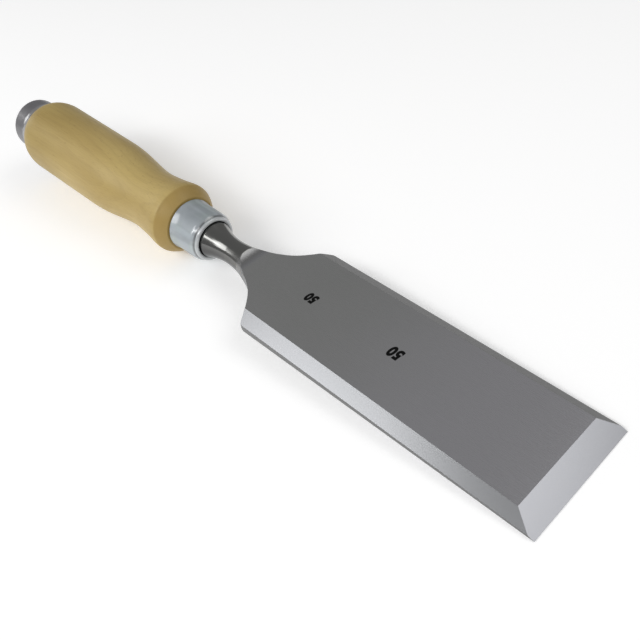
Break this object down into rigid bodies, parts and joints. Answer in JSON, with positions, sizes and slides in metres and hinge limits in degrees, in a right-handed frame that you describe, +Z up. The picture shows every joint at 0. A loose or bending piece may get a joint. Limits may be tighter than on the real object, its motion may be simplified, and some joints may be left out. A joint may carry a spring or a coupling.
{
  "type": "bench chisel",
  "caption": "Wide bevel-edge bench chisel: forged steel blade with bolster, turned wooden handle, drawn steel ferrule and steel striking cap",
  "frame": {"origin": "on the bench, under the middle of the tool's length and width, with the tool lying on its cutting edge and on its handle's collar", "axes": "+X towards the cutting edge, +Y across the blade, +Z up from the bench; the blade's flat back faces down and rises by about 3.3 degrees towards the handle"},
  "size_m": [0.3216, 0.05, 0.0407],
  "materials": {
    "ground_steel": "fine ground, lengthwise grain, side bevels and cutting bevel brighter",
    "plated_steel": "smooth drawn steel with a bright, faintly blue plating",
    "lacquered_wood": "pale close-grained wood under clear satin lacquer",
    "cap_steel": "smooth drawn steel, darker than the ferrule"
  },
  "bodies": {
    "root": {"blade": "ground_steel", "ferrule": "plated_steel", "handle": "lacquered_wood", "striking_cap": "cap_steel"}
  },
  "joints": []
}
